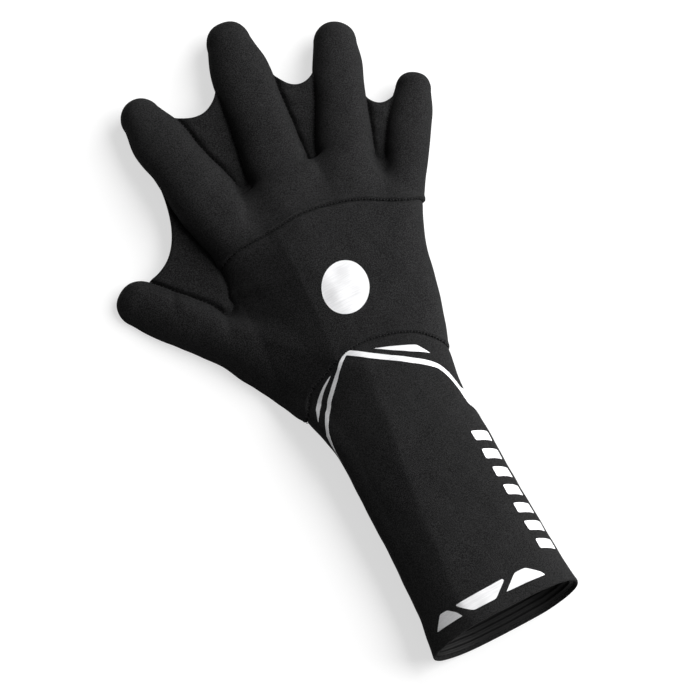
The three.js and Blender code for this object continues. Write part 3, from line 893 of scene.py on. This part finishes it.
outer_quads = np.stack([number[:-1], right[:-1], right[1:], number[1:]], -1).reshape(-1, 4)
count = len(mouth_skin)
inner_quads = outer_quads[:, ::-1] + count
front = np.stack([right[0], number[0], number[0] + count, right[0] + count], -1)
back_ring = np.stack([number[-1], right[-1], right[-1] + count, number[-1] + count], -1)
piece("mouth_seal", np.concatenate([glued, inner_face]),
      np.concatenate([outer_quads, inner_quads, front, back_ring]), rubber, "seal_rubber", ["cuff_seal"])


# Prints.
# Thin silver film, heat-pressed onto the jersey: a bent line over the wrist with a wedge at each side, three
# blocks round the mouth, a row of slanted blocks down the outer side and a plain oval on the hand.

# Each outline goes round its shape as degrees round the glove (0 on the little finger's side, 90 on top, 180
# on the thumb's side) and millimetres along it.
PRINTS = {
    "wrist_line": [
        (98.4, 147.5), (95.9, 147.3), (86.7, 141.5), (76.4, 136.1), (65.3, 130.7), (53.0, 125.1),
        (47.1, 122.3), (42.8, 118.9), (39.2, 116.0), (35.3, 112.3), (31.0, 108.2), (-5.7, 105.9),
        (1.8, 99.6), (2.9, 88.1), (0.9, 80.0), (2.7, 88.5), (32.6, 99.0), (36.2, 106.4), (39.0, 110.1),
        (41.9, 113.6), (46.3, 117.6), (49.7, 120.4), (54.6, 122.6), (67.2, 128.0), (78.2, 133.5),
        (88.6, 138.7), (97.9, 144.6), (99.5, 145.8), (106.1, 142.3), (117.2, 137.8), (130.2, 133.6),
        (143.6, 130.0), (152.5, 125.9), (156.7, 121.7), (159.3, 117.4), (166.8, 111.8), (182.0, 103.0),
        (168.5, 114.3), (162.6, 119.9), (161.0, 123.0), (156.9, 128.0), (146.3, 132.0), (132.8, 135.6),
        (122.3, 138.8), (111.5, 142.1), (102.8, 146.2)],
    "outer_wedge": [
        (85.3, 143.1), (74.2, 140.0), (62.8, 136.4), (58.2, 134.9), (54.3, 131.7), (49.4, 127.8),
        (64.1, 133.1), (75.2, 138.0)],
    "inner_wedge": [
        (118.0, 142.1), (125.6, 141.3), (139.0, 139.2), (148.3, 137.5), (158.8, 135.3), (165.2, 132.3),
        (167.9, 129.1), (169.5, 125.5), (160.8, 130.7), (153.4, 133.7), (141.0, 137.0), (128.9, 139.5)],
    "mouth_block_left": [
        (150.7, 8.5), (139.5, 15.2), (130.2, 15.0), (122.5, 11.8), (118.1, 8.3)],
    "mouth_block_middle": [
        (121.7, 14.7), (82.8, 15.4), (82.1, 14.1), (92.9, 7.9), (109.3, 8.0), (111.7, 8.8)],
    "mouth_block_right": [
        (84.9, 8.6), (73.2, 15.4), (64.6, 15.3), (55.6, 10.2), (53.4, 7.8)],
}
OVAL = dict(x=8.6, y=176.8, across=11.6, up=13.9, lean=-28.0)

# Where the first and the last side block lie along the cuff, and how many degrees up its top edge is.
FIRST_BLOCK, LAST_BLOCK = (82.0, 50.0), (22.0, 46.5)
BLOCKS, BLOCK_LENGTH, BLOCK_SLANT, BLOCK_ARC = 7, 5.6, 1.4, 20.0
for i in range(BLOCKS):
    share = i / (BLOCKS - 1)
    at, top = (first + share * (last - first) for first, last in zip(FIRST_BLOCK, LAST_BLOCK))
    half, slant, foot = BLOCK_LENGTH / 2, BLOCK_SLANT, top - BLOCK_ARC
    PRINTS["side_block_%d" % (i + 1)] = [
        (top, at - half + slant), (top, at + half + slant),
        (foot, at + half - slant), (foot, at - half - slant)]
turns = np.linspace(0, 2 * np.pi, 60, endpoint=False)
lean = math.radians(OVAL["lean"])
oval_x = OVAL["across"] * np.cos(turns) * math.cos(lean) - OVAL["up"] * np.sin(turns) * math.sin(lean)
oval_y = OVAL["across"] * np.cos(turns) * math.sin(lean) + OVAL["up"] * np.sin(turns) * math.cos(lean)
PRINTS["hand_oval"] = list(zip(OVAL["x"] + oval_x, OVAL["y"] + oval_y))

film, tree, shader = new_material("silver_film")
drawn_out = add(tree, "Mapping", {
    "Vector": add(tree, "TexCoord").outputs["Object"],
    "Scale": (150, 2200, 900),
    "Rotation": (0, 0, math.radians(-24)),
})
streaks = add(tree, "TexNoise", {"Vector": drawn_out.outputs[0], "Scale": 1.0, "Detail": 3}).outputs["Fac"]
feed(tree, shader, {
    "Base Color": mixed(tree, streaks, (0.60, 0.60, 0.61, 1), (0.92, 0.92, 0.93, 1)),
    "Roughness": add(tree, "MapRange", {"Value": streaks, "To Min": 0.38, "To Max": 0.6}).outputs[0],
    "Normal": bumped(tree, streaks, 0.15, 0.0002),
    "Metallic": 0.15,
})

DEGREE = 0.5
PRINT_STEP = 0.35
PRINT_TRIM = 0.15
# The corners are cut back twice, which rounds them: by these shares of each side, and by no more than this.
CORNER_SHARES, CORNER_MOST = (0.12, 0.22), 0.55
FILM_ABOVE, FILM_BELOW = 0.13, 0.1
for name, rows in PRINTS.items():
    # The oval lies on top of the hand, so it is drawn from above in millimetres.
    from_above = name == "hand_oval"
    per_turn = 1.0 if from_above else DEGREE
    outline = np.array(rows)
    for share in CORNER_SHARES:
        side = np.roll(outline, -1, axis=0) - outline
        step = np.hypot(side[:, 0] * per_turn, side[:, 1])[:, None]
        back_off = np.minimum(share, CORNER_MOST / step)
        outline = np.stack([outline + side * back_off, outline + side - side * back_off], 1).reshape(-1, 2)
    scaled = outline * (per_turn, 1)
    low, high = scaled.min(0) - 1, scaled.max(0) + 1
    across_at = np.arange(low[0], high[0], PRINT_STEP)
    along_at = np.arange(low[1], high[1], PRINT_STEP)
    flat = np.stack(np.meshgrid(across_at, along_at, indexing="ij"), -1).reshape(-1, 2)
    quads = grid_quads(len(across_at), len(along_at))
    triangles = np.concatenate([quads[:, [0, 1, 2]], quads[:, [0, 2, 3]]])
    points = np.concatenate([flat, np.zeros((len(flat), 1))], 1)

    def within(p):
        closed = np.concatenate([scaled, scaled[:1]])
        away = np.abs(line_distance(p[:, 0], p[:, 1], closed)[0])
        inside = np.zeros(len(p), bool)
        for (x0, y0), (x1, y1) in zip(closed[:-1], closed[1:]):
            if y0 == y1:
                continue
            over = (p[:, 1] > min(y0, y1)) & (p[:, 1] <= max(y0, y1))
            inside ^= over & (p[:, 0] < x0 + (p[:, 1] - y0) * (x1 - x0) / (y1 - y0))
        return np.where(inside, away, -away) - PRINT_TRIM

    triangles = triangles[(within(points)[triangles] > -1.5 * PRINT_STEP).any(1)]
    points, triangles = cut_off(points, triangles, within)
    if from_above:
        on_skin = dropped(points[:, 0], points[:, 1])
    else:
        # Each point goes straight out from the section's middle until it meets the skin.
        turn, along = np.radians(points[:, 0] / DEGREE), points[:, 1]
        half_width, half_height, middle = section_at(glove_sections, along)
        shift = column(glove_sections, "shift", along)

        def gone_out(out):
            return shift + half_width * np.cos(turn) * out, along, middle + half_height * np.sin(turn) * out

        out = np.ones(len(points))
        nudge = 0.004
        for _ in range(6):
            here = hand_form(*gone_out(out))
            there = hand_form(*gone_out(out + nudge))
            out = out - np.clip(here / np.maximum((there - here) / nudge, 3.0), -0.15, 0.15)
        on_skin = np.stack(gone_out(out), 1)
    _same, facing = push_onto(hand_form, on_skin, 1)
    sheet = thickened(on_skin + facing * FILM_ABOVE, on_skin - facing * FILM_BELOW, triangles, glued=True)
    piece("print_" + name, *sheet, film, "hand_neoprene" if from_above else "cuff_neoprene")


# Stitching.
# Black bonded thread: short slanted blind stitches that cross the knuckle seam and the cuff seam, and a row
# that ties each web to the fingers beside it.

thread, tree, shader = new_material("bonded_thread")
place = add(tree, "TexCoord").outputs["Object"]
twist = add(tree, "TexNoise", {"Vector": place, "Scale": 2600}).outputs["Fac"]
feed(tree, shader, {
    "Base Color": mixed(tree, twist, (0.004, 0.004, 0.004, 1), (0.030, 0.030, 0.031, 1)),
    "Roughness": 0.55,
    "Normal": bumped(tree, twist, 0.4, 0.0001),
    "Specular IOR Level": 0.2,
})

# A stitch's half length and radius, and how far its middle stands out and its ends dip in.
STITCH_HALF, THREAD_RADIUS, STITCH_OUT, STITCH_DIP = 0.95, 0.17, 0.16, 0.42
SEAM_PITCH, SEAM_LEAN, WEB_PITCH = 1.5, 0.5, 2.2


def spaced(line, pitch):
    """Evenly spaced places on a line of points, each with the line's direction there."""
    line = np.asarray(line, float)
    run = np.concatenate([[0], np.cumsum(np.linalg.norm(np.diff(line, axis=0), axis=1))])
    at = np.arange(pitch / 2, run[-1], pitch)

    def along(at):
        return np.stack([np.interp(at, run, line[:, k]) for k in range(line.shape[1])], 1)

    way = along(at + 0.4) - along(at - 0.4)
    return along(at), way / np.linalg.norm(way, axis=1)[:, None]


def sewn(name, rows, slot):
    """Short bent lengths of thread. Each row has a stitch's middle, its way and the way out of the cloth."""
    rings, sides = 7, 6
    points, faces = [], []
    for middle, way, out in rows:
        way = way / np.linalg.norm(way)
        side = np.cross(out, way)
        base = len(points)
        for i in range(rings):
            t = 2 * i / (rings - 1) - 1
            centre = middle + way * (STITCH_HALF * t) + out * (STITCH_OUT - STITCH_DIP * t * t)
            thick = THREAD_RADIUS * math.sqrt(max(1.05 - t**4, 0.1))
            for j in range(sides):
                turn = 2 * math.pi * j / sides
                points.append(centre + side * (thick * math.cos(turn)) + out * (thick * math.sin(turn)))
        for i in range(rings - 1):
            for j in range(sides):
                k = (j + 1) % sides
                here = base + i * sides
                faces.append((here + j, here + k, here + sides + k, here + sides + j))
    piece(name, points, faces, thread, slot, sharp=80)


def seam_stitches(line, under=False):
    """Stitches across a seam that is drawn from above, set down on the skin."""
    places, ways = spaced(line, SEAM_PITCH)
    drop = sunk(places[:, 0], places[:, 1])
    at = dropped(places[:, 0] + SLID_X * drop, places[:, 1] + SLID_Y * drop, under)
    on = np.abs(hand_form(*at.T)) < 0.1
    _same, out = push_onto(hand_form, at, 1)
    rows = []
    for i in np.flatnonzero(on):
        along = np.array([*ways[i], 0.0])
        along = along - out[i] * (along @ out[i])
        cross = np.cross(out[i], along)
        turn = SEAM_LEAN if i % 2 else -SEAM_LEAN
        rows.append((at[i], along * math.sin(turn) + cross * math.cos(turn), out[i]))
    return rows


sewn("knuckle_seam_stitches", seam_stitches(knuckle_line), "hand_neoprene")
sewn("cuff_seam_stitches", seam_stitches(cuff_line) + seam_stitches(cuff_line, under=True), "cuff_neoprene")
web_rows_sewn = []
for name, borders in web_borders.items():
    for sign, border in zip((1, -1), borders):
        if len(border) < 8:
            continue
        places, ways = spaced(border[3:-2], WEB_PITCH)
        for place, way in zip(places, ways):
            out = np.array([way[1] * sign, -way[0] * sign, 1.3])
            out = out / np.linalg.norm(out)
            cross = np.cross(out, way)
            web_rows_sewn.append((place + (0, 0, WEB_THICKNESS / 2 + 0.25), way * 0.5 + cross * 0.87, out))
sewn("web_stitches", web_rows_sewn, "hand_neoprene")


# The studio: a pale floor, a large soft light at the picture's right, and the camera that looks down on the
# glove from beyond the cuff's thumb side.

floor_mesh = bpy.data.meshes.new("floor")
floor_mesh.from_pydata([(-6, -6, 0), (6, -6, 0), (6, 6, 0), (-6, 6, 0)], [], [(0, 1, 2, 3)])
floor = bpy.data.objects.new("floor", floor_mesh)
bpy.context.scene.collection.objects.link(floor)
pale, tree, shader = new_material("pale_floor")
# The camera sees it lit from under, as a cut-out ground is, but little of that light reaches the glove.
seen_by_camera = add(tree, "LightPath").outputs["Is Camera Ray"]
feed(tree, shader, {
    "Base Color": (0.45, 0.45, 0.45, 1),
    "Roughness": 0.9,
    "Specular IOR Level": 0.0,
    "Emission Color": (1, 1, 1, 1),
    "Emission Strength": math_node("MULTIPLY", seen_by_camera, 0.62, tree),
})
floor_mesh.materials.append(pale)

world = bpy.data.worlds.new("studio")
bpy.context.scene.world = world
world.use_nodes = True
world.node_tree.nodes["Background"].inputs["Color"].default_value = (1, 1, 1, 1)
world.node_tree.nodes["Background"].inputs["Strength"].default_value = 0.15

CAMERA_ELEVATION = math.radians(72.5)
CAMERA_AZIMUTH = math.radians(-28)
CAMERA_DISTANCE = 2.0
PICTURE_SCALE = 0.00048
look_at = Vector((-1.25 + GLOVE_AT[0], 153.69 + GLOVE_AT[1], 12.0)) / 1000
away = Vector((
    math.sin(CAMERA_AZIMUTH) * math.cos(CAMERA_ELEVATION),
    -math.cos(CAMERA_AZIMUTH) * math.cos(CAMERA_ELEVATION),
    math.sin(CAMERA_ELEVATION),
))
camera_data = bpy.data.cameras.new("camera")
camera_data.lens = 36 * CAMERA_DISTANCE / PICTURE_SCALE / 700
camera_data.clip_end = 50
camera = bpy.data.objects.new("camera", camera_data)
camera.location = look_at + away * CAMERA_DISTANCE
camera.rotation_euler = (-away).to_track_quat("-Z", "Y").to_euler()
bpy.context.scene.collection.objects.link(camera)
bpy.context.scene.camera = camera


def softbox(name, towards, distance, size, watts):
    """A square light that stands this far off in one direction and faces the glove."""
    lamp = bpy.data.lights.new(name, "AREA")
    lamp.size = size
    lamp.energy = watts
    thing = bpy.data.objects.new(name, lamp)
    direction = Vector(towards).normalized()
    thing.location = look_at + direction * distance
    thing.rotation_euler = direction.to_track_quat("Z", "Y").to_euler()
    bpy.context.scene.collection.objects.link(thing)


right = Vector((math.cos(CAMERA_AZIMUTH), math.sin(CAMERA_AZIMUTH), 0))
up_picture = Vector((-math.sin(CAMERA_AZIMUTH), math.cos(CAMERA_AZIMUTH), 0))
softbox("key", right * 1.0 + up_picture * 0.4 + Vector((0, 0, 0.78)), 1.8, 2.2, 90)
bpy.context.scene.view_settings.view_transform = "Standard"
